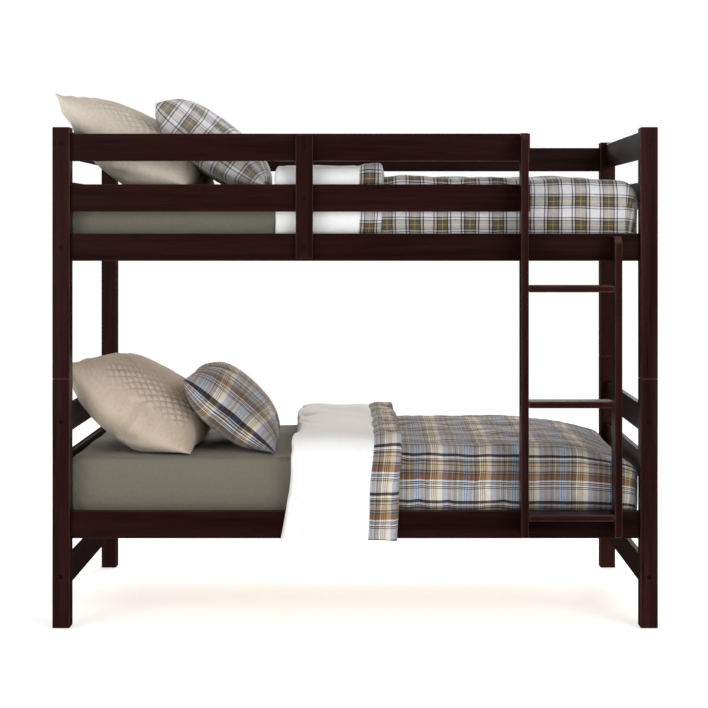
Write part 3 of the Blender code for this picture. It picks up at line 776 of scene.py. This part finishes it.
def flat_pillow(name, width, length, materials, under):
    """Two flat layers, sewn together round the border. under is the material of the lower one."""
    across, along = flat_grid((-width / 2, -length / 2), (width / 2, length / 2), PILLOW_STEP)
    crown = (1 - np.abs(across / width * 2) ** 2.4) * (1 - np.abs(along / length * 2) ** 3.2)
    height = 0.006 * crown + 0.0015 * ripple(across, along, 0.07, 31) * crown
    across_in, along_in = across, along
    top = np.stack([across_in, along_in, height], -1)
    bottom = np.stack([across_in, along_in, -height], -1)
    cloth = np.stack([across + width / 2, along + length / 2], -1)
    faces = np.zeros_like(across[1:, 1:], int)
    obj = two_layers(name, top, bottom, cloth, materials, (faces, faces + under))
    return obj, across.shape


def shift_cloth(obj, across, along, direction):
    """Moves the check to where it lies on this pillow."""
    cloth = cloth_coordinates(obj)
    cloth[:, 0] += across
    cloth[:, 1] = along + direction * CHECK_DRAWN_OUT * cloth[:, 1]
    obj.data.attributes[CLOTH].data.foreach_set("vector", cloth.ravel())


def soften(values, grid, rounds):
    """Averages a value with its neighbours over each layer of the cloth."""
    for numbers in quilt_grid(*grid):
        field = values[numbers]
        for _ in range(rounds):
            field[1:-1, 1:-1] = (field[:-2, 1:-1] + field[2:, 1:-1] + field[1:-1, :-2] + field[1:-1, 2:]) / 4
        values[numbers[1:-1, 1:-1]] = field[1:-1, 1:-1]
    return values


def spread_seams(obj, grid, width, length, blunt):
    """Evens out how far the seams pull in between the corners, and how the filling lies.

    Returns the points with their height from -1 to 1. blunt raises how full the high end is.
    """
    points = coordinates(obj)
    cloth = cloth_coordinates(obj)
    u = cloth[:, 0] / width * 2 - 1
    v = cloth[:, 1] / length * 2 - 1
    for axis, own, other, half in ((0, u, v, width / 2), (1, v, u, length / 2)):
        seams = []
        for side in (-1, 1):
            end = np.abs(own - side) < AT_SEAM
            curve = np.polyfit(other[end], points[end, axis], SEAM_CURVE_DEGREE)
            seams.append(np.polyval(curve, other))
        wanted = half * (1 - PILLOW_PULL_IN * (1 - other * other))
        middle = (seams[0] + seams[1]) / 2
        filled = (points[:, axis] - middle) * wanted / ((seams[1] - seams[0]) / 2)
        points[:, axis] = filled * WRINKLED_SHARE + own * wanted * (1 - WRINKLED_SHARE)
    power = np.where(u < 0, CROWN_POWERS[0] + blunt, CROWN_POWERS[0])
    filled = (1 - np.abs(u) ** power) * (1 - np.abs(v) ** CROWN_POWERS[1])
    crown = np.maximum(filled, 0) ** CROWN_ROUNDNESS
    height = soften(points[:, 2] / np.abs(points[:, 2]).max(), grid, SOFTENING_ROUNDS)
    height *= np.clip(crown * SIMULATED_SEAM, 0, 1)
    side = np.ones(len(points))
    side[grid[0] * grid[1]:] = -1
    points[:, 2] = crown * side * (1 - FILLED_SHARE) + height * FILLED_SHARE
    return points


def kept_above(value, limit):
    """The value, bent softly so that it stays above the limit."""
    soft = CONTACT_SOFTNESS
    bent = limit + soft * np.exp(np.minimum((value - limit) / soft - 1, 0))
    return np.where(value < limit + soft, bent, value)


def stand_pillow(obj, grid, spec, width, length, near_y, rest_z, board_x, board_top):
    """Maps a filled pillow from its own flat frame to its place on the bed."""
    points = spread_seams(obj, grid, width, length, spec["blunt"])
    u = points[:, 0] / (width / 2)
    v = points[:, 1] / (length / 2)
    w = points[:, 2] * spec["flip"]
    a = (u + 1) / 2
    b = (v + 1) / 2
    corners = [np.array(corner) for pair in (spec["near"], spec["far"]) for corner in pair]
    chord = [corners[1] - corners[0], corners[3] - corners[2]]
    near_line = corners[0] + a[:, None] * chord[0]
    far_line = corners[2] + a[:, None] * chord[1]
    line = near_line * (1 - b[:, None]) + far_line * b[:, None]
    along = chord[0] * (1 - b[:, None]) + chord[1] * b[:, None]
    along /= np.linalg.norm(along, axis=1, keepdims=True)
    normal = np.stack([-along[:, 1], along[:, 0]], -1)
    fuller = 1 + spec["taper"] * u
    lift = w * fuller * spec["thickness"] / 2
    lift -= spec["seam_drop"] * np.clip(1 - u * u, 0, 1) * np.exp(-(v + 1) / SEAM_DROP_REACH)
    place = line + normal * lift[:, None]
    x, z = place[:, 0], place[:, 1]
    z = kept_above(z, rest_z)
    beside = smooth_step(z, board_top + 0.06, board_top)
    x = x + (kept_above(x, board_x) - x) * beside
    y = near_y + b * length
    set_coordinates(obj, np.stack([x, y, z], -1))


def quilt(obj, width, flip):
    """Presses a grid of quilting stitching into the shown side of the pillow, with soft folds round it, and
    stores where it shows for the painted shade of its grooves.
    """
    cloth = cloth_coordinates(obj)
    shown = cloth[:, 2] if flip > 0 else BOTTOM_LAYER - cloth[:, 2]
    s, t = cloth[:, 0], cloth[:, 1]
    inner = smooth_step(s, 0.09, 0.16) * smooth_step(s, width - 0.07, width - 0.12)
    inner *= smooth_step(t, 0.04, 0.10) * smooth_step(t, 0.36, 0.24)
    inner *= smooth_step(shown, BOTTOM_LAYER, TOP_LAYER)
    one_way = (s + t) * DIAGONAL
    other_way = (s - t) * DIAGONAL
    waves = np.sin(math.pi * one_way / QUILT_CELL[0]) * np.sin(math.pi * other_way / QUILT_CELL[1])
    puff = np.abs(waves) ** 0.7
    uneven = 0.75 + 0.25 * ripple(s, t, 0.11, 5)
    height = QUILT_HEIGHT * (puff - 0.45) * inner * uneven
    beside = smooth_step(t, 0.22, 0.10)
    height += 0.0026 * (1 - inner) * beside * ripple(one_way, other_way * 0.25, 0.050, 9)
    height += 0.0022 * (1 - inner) * (1 - beside) * ripple(one_way * 0.25, other_way, 0.045, 12)
    stored = obj.data.attributes.new(QUILTED, "FLOAT", "POINT")
    stored.data.foreach_set("value", inner * uneven)
    set_coordinates(obj, coordinates(obj) + normals(obj) * height[:, None])


def pillow(name, materials):
    level = name.split("_")[0]
    spec = PILLOWS[name]
    chord = Vector(spec["near"][1]) - Vector(spec["near"][0])
    width = chord.length * SEAM_SLACK
    _, mattress_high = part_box(f"{level}_mattress")
    node_low, node_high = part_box(f"{name}_pillow")
    length = node_high.y - node_low.y + 0.004
    obj, grid = flat_pillow(f"{name}_pillow_filled", width, length, materials, len(materials) - 1)
    swell(obj, 7.0, 26, 1.0, stiffness=22.0, bending=0.6)
    _, board_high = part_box(f"{level}_top_rail_left")
    rest_z = mattress_high.z + CLEARANCE
    stand_pillow(obj, grid, spec, width, length, node_low.y, rest_z, board_high.x + CLEARANCE, board_high.z)
    subdivide(obj, 2 if spec["quilted"] else 1)
    if spec["quilted"]:
        quilt(obj, width, spec["flip"])
    else:
        shift_cloth(obj, *spec["check_start"], -1)
    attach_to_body(obj, f"{name}_pillow")
    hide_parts(f"{name}_pillow")


# ---------------- fasteners


def turned(bm, centre, direction, rings, sides=24):
    """Adds a turned piece: rings of (radius, height along the direction, six-sided or not)."""
    turn = Vector(direction).to_track_quat("Z", "X").to_matrix()
    loops = []
    for radius, height, six_sided in rings:
        loop = []
        for number in range(sides):
            angle = 2 * math.pi * number / sides
            reach = radius
            if six_sided:
                reach = radius * math.cos(math.pi / 6) / math.cos(angle % (math.pi / 3) - math.pi / 6)
            point = Vector((reach * math.cos(angle), reach * math.sin(angle), height))
            loop.append(bm.verts.new(Vector(centre) + turn @ point))
        loops.append(loop)
    for first, second in zip(loops, loops[1:]):
        for number in range(sides):
            after = (number + 1) % sides
            bm.faces.new((first[number], first[after], second[after], second[number]))
    bm.faces.new(reversed(loops[0]))
    bm.faces.new(loops[-1])


def socket_bolt(radius, head, shank, length):
    """Rings of a bolt with a hexagonal socket, from its end to the floor of the socket."""
    return [
        (shank, -head - length, False), (shank, -head, False), (radius, -head, False),
        (radius, -0.001, False), (radius - 0.001, 0.0, False), (radius * 0.46, 0.0, True),
        (radius * 0.46, -head * 0.6, True),
    ]


def cross_screw(radius):
    return [(radius * 0.5, -0.010, False), (radius, -0.001, False), (radius * 0.96, 0.0008, False),
            (radius * 0.35, 0.0012, False), (radius * 0.25, -0.0004, True)]


def fastener_group(name, body, places, direction, rings, metal):
    """Identical fasteners of one kind, as one piece."""
    bm = bmesh.new()
    for place in places:
        turned(bm, place, direction, rings)
    mesh = bpy.data.meshes.new(name)
    bm.to_mesh(mesh)
    bm.free()
    mesh.materials.append(metal)
    mesh.shade_smooth()
    mesh.set_sharp_from_angle(angle=math.radians(35))
    obj = add_object(name, mesh)
    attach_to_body(obj, body)


CORNER_BOLT = socket_bolt(radius=0.0065, head=0.004, shank=0.003, length=0.048)
RAIL_BOLT = socket_bolt(radius=0.0065, head=0.0022, shank=0.003, length=0.030)
STRIP_BOLT = socket_bolt(radius=0.0058, head=0.0022, shank=0.003, length=0.012)
RUNG_SCREW = cross_screw(radius=0.0042)
BARREL_NUT = [
    (0.005, -0.003, False), (0.005, -0.0003, False), (0.0046, 0.0, False), (0.0018, 0.0, True),
    (0.0018, -0.0015, True),
]
HEAD_RECESS = 0.001
STRIP_HEAD_PROUD = 0.0012
RAIL_HEAD_PROUD = 0.0016
NUT_PROUD = 0.0004
NUT_FROM_POST = 0.040
RAIL_BOLT_SPREAD = 0.022
RUNG_SCREW_SHARES = (0.25, 0.75)
OUTWARD = {"left": -1, "right": 1}


def middle_of(name):
    low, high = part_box(name)
    return (low + high) / 2


def rear_bolts(level, boards, metal):
    """Bolts through the rear posts into the end boards."""
    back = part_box(f"{level}_post_rear_left")[1].y
    heads = []
    for side in OUTWARD:
        centre_x = middle_of(f"{level}_post_rear_{side}").x
        for board in boards:
            heads.append((centre_x, back - HEAD_RECESS, middle_of(f"{level}_{board}_{side}").z))
    fastener_group(f"{level}_rear_bolts", f"{level}_bed", heads, (0, 1, 0), CORNER_BOLT, metal)


def barrel_nuts(level, boards, metal):
    """The nuts of the corner bolts, seen on the inner faces of the end boards."""
    for side, outward in OUTWARD.items():
        nuts = []
        for board in boards:
            low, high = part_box(f"{level}_{board}_{side}")
            face = low.x if outward > 0 else high.x
            for y in (low.y + NUT_FROM_POST, high.y - NUT_FROM_POST):
                nuts.append((face - outward * NUT_PROUD, y, (low.z + high.z) / 2))
        name = f"{level}_barrel_nuts_{side}"
        fastener_group(name, f"{level}_bed", nuts, (-outward, 0, 0), BARREL_NUT, metal)


def rail_bolts(level, metal):
    """Bolts through the posts into the side rails, two at each end."""
    for side, outward in OUTWARD.items():
        places = []
        for place in ("front", "rear"):
            low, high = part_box(f"{level}_post_{place}_{side}")
            face = high.x if outward > 0 else low.x
            rail = middle_of(f"{level}_side_rail_{place}")
            for step in (-RAIL_BOLT_SPREAD, RAIL_BOLT_SPREAD):
                places.append((face + outward * RAIL_HEAD_PROUD, rail.y, rail.z + step))
        name = f"{level}_rail_bolts_{side}"
        fastener_group(name, f"{level}_bed", places, (outward, 0, 0), RAIL_BOLT, metal)


def rung_screws(metal):
    """Screws through the stiles into the ends of the rungs."""
    for side, stile in (("left", "ladder_stile_long"), ("right", "ladder_stile_short")):
        outward = OUTWARD[side]
        low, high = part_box(stile)
        face = high.x if outward > 0 else low.x
        places = []
        for number in (1, 2, 3):
            rung_low, rung_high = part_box(f"ladder_rung_{number}")
            for share in RUNG_SCREW_SHARES:
                y = rung_low.y + (rung_high.y - rung_low.y) * share
                places.append((face, y, (rung_low.z + rung_high.z) / 2))
        name = f"ladder_rung_screws_{side}"
        fastener_group(name, "upper_bed", places, (outward, 0, 0), RUNG_SCREW, metal)


def fasteners(metal):
    """The bolts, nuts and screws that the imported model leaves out."""
    bolted = {"lower": ("stretcher", "top_rail"), "upper": ("bottom_rail", "top_rail")}
    for level, boards in bolted.items():
        rear_bolts(level, boards, metal)
        barrel_nuts(level, boards, metal)
    strip_x = middle_of("guard_board_strip").x
    heads_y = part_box("guard_board_strip")[0].y - STRIP_HEAD_PROUD
    boards = ("high_guard_board_front", "low_guard_board_front", "upper_side_rail_front")
    places = [(strip_x, heads_y, middle_of(board).z) for board in boards]
    fastener_group("strip_bolts", "upper_bed", places, (0, -1, 0), STRIP_BOLT, metal)
    for level in bolted:
        rail_bolts(level, metal)
    rung_screws(metal)


# ---------------- frame materials


# The right posts get 1.5 rather than 1.3 as painted light: a brighter copy of the stain for the light from
# the front right
POST_TONES_AND_LIGHT = {"left": 1.3, "right": 1.5}
LADDER_TONE = 1.3


def paint_frame():
    """Gives every piece of the frame its material, with the grain along the piece."""
    woods = {}
    metal = steel()
    slats = pale_slats()
    for name, obj in NODES.items():
        if "mattress" in name or "duvet" in name or "pillow" in name:
            continue
        if "bolt" in name or "pin" in name:
            chosen = metal
        elif "slat_roll" in name:
            chosen = slats
        else:
            low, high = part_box(name)
            size = high - low
            axis = "XYZ"[max(range(3), key=lambda number: size[number])]
            brightness = 1.0
            if "post" in name:
                # posts on the right get painted light, a brighter copy of their stain
                brightness = POST_TONES_AND_LIGHT[name.rsplit("_", 1)[1]]
            elif "stile" in name or "rung" in name:
                brightness = LADDER_TONE
            if (axis, brightness) not in woods:
                woods[axis, brightness] = stained_wood(axis, brightness)
            chosen = woods[axis, brightness]
        if not obj.material_slots:
            obj.data.materials.append(chosen)
        for slot in obj.material_slots:
            slot.material = chosen
    return metal


# ---------------- room, light and camera


LIT_POINT = (0.0, 0.0, 0.9)
DIFFUSE_STRENGTH = 0.54
GLOSSY_STRENGTH = 0.03
FLOOR_GLOW = 0.54
FLOOR_SIZE = 60.0
CAMERA_X = 0.0714
CAMERA_HEIGHT = 1.3338
CAMERA_DISTANCE = 5.6  # from the fronts of the posts
LENS = 85.4
LENS_SHIFT = (-0.0318, -0.1774)


def look_at(obj, target):
    obj.rotation_euler = (Vector(target) - obj.location).to_track_quat("-Z", "Y").to_euler()


def soft_box(name, place, width, height, power):
    data = bpy.data.lights.new(name, "AREA")
    data.shape = "RECTANGLE"
    data.size = width
    data.size_y = height
    data.energy = power
    light = add_object(name, data)
    light.location = place
    look_at(light, LIT_POINT)


def white_room():
    """A white surround that lights softly, and looks dim in the gloss of the wood."""
    world = bpy.data.worlds.new("white_room")
    bpy.context.scene.world = world
    world.use_nodes = True
    tree = world.node_tree
    background = tree.nodes["Background"]
    path = node(tree, "LightPath")
    diffuse = maths(tree, "MULTIPLY", path.outputs["Is Diffuse Ray"], DIFFUSE_STRENGTH)
    glossy = maths(tree, "MULTIPLY", path.outputs["Is Glossy Ray"], GLOSSY_STRENGTH)
    total = maths(tree, "ADD", maths(tree, "ADD", diffuse, glossy), path.outputs["Is Camera Ray"])
    background.inputs["Color"].default_value = (1.0, 1.0, 1.0, 1.0)
    tree.links.new(total, background.inputs["Strength"])
    bpy.ops.mesh.primitive_plane_add(size=FLOOR_SIZE, location=(0, 0, -0.0005))
    floor = bpy.context.object
    floor.name = "studio_floor"
    made, _, shader = material("pale_floor", roughness=0.9, specular_ior_level=0.05)
    shader.inputs["Base Color"].default_value = (0.93, 0.93, 0.93, 1.0)
    shader.inputs["Emission Color"].default_value = (1.0, 1.0, 1.0, 1.0)
    shader.inputs["Emission Strength"].default_value = FLOOR_GLOW
    floor.data.materials.append(made)
    floor.visible_glossy = False
    soft_box("key_light", (3.4, -4.6, 3.3), 2.4, 2.4, 98)
    soft_box("fill_light", (-3.8, -4.4, 2.0), 2.6, 2.6, 60)
    soft_box("back_light", (0.5, 4.5, 3.2), 3.0, 2.0, 130)


def camera():
    """A long lens level with the gap between the beds, square on to the ladder side."""
    posts_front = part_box("lower_post_front_left")[0].y
    data = bpy.data.cameras.new("front_view")
    data.sensor_width = 36.0
    data.lens = LENS
    data.shift_x, data.shift_y = LENS_SHIFT
    view = add_object("front_view", data)
    view.location = (CAMERA_X, posts_front - CAMERA_DISTANCE, CAMERA_HEIGHT)
    view.rotation_euler = (math.radians(90), 0, 0)
    bpy.context.scene.camera = view
    bpy.context.scene.view_settings.view_transform = "Standard"


DUVET_PALENESS = -0.10
PILLOW_PALENESS = 0.22
UNDERSIDE_SHIFT = 0.108  # the underside of a pillow shows another part of the check at its seam

camera()
white_room()
zinc = paint_frame()
fasteners(zinc)

blue_check = check_cotton("blue_check_cotton", BLUE_WARP, BLUE_WEFT)
grey_check = check_cotton("grey_check_cotton", GREY_WARP, GREY_WEFT, DUVET_PALENESS)
grey_check_pale = check_cotton("grey_check_cotton_pale", GREY_WARP, GREY_WEFT, PILLOW_PALENESS)
beige = plain_cotton("beige_cotton", linear(198, 182, 163), shaded_grooves=True)
beige_pale = plain_cotton("beige_cotton_pale", linear(219, 207, 191), shaded_grooves=True)
white = plain_cotton("white_cotton", linear(248, 248, 247), slub=0.015)
sheet_cotton = plain_cotton("olive_grey_sheet", linear(115, 111, 98), slub=0.05)
blue_under = check_cotton("blue_check_cotton_underside", BLUE_WARP, BLUE_WEFT, 0.0, UNDERSIDE_SHIFT)
grey_under = check_cotton(
    "grey_check_cotton_underside", GREY_WARP, GREY_WEFT, PILLOW_PALENESS, UNDERSIDE_SHIFT
)
for level, check, quilted_cover, check_cover in (
    ("lower", blue_check, beige, [blue_check, blue_under]),
    ("upper", grey_check, beige_pale, [grey_check_pale, grey_under]),
):
    fitted_mattress(level, sheet_cotton)
    duvet_body(level, check, white)
    duvet_fold(level, check, white)
    pillow(f"{level}_back", [quilted_cover])
    pillow(f"{level}_front", check_cover)
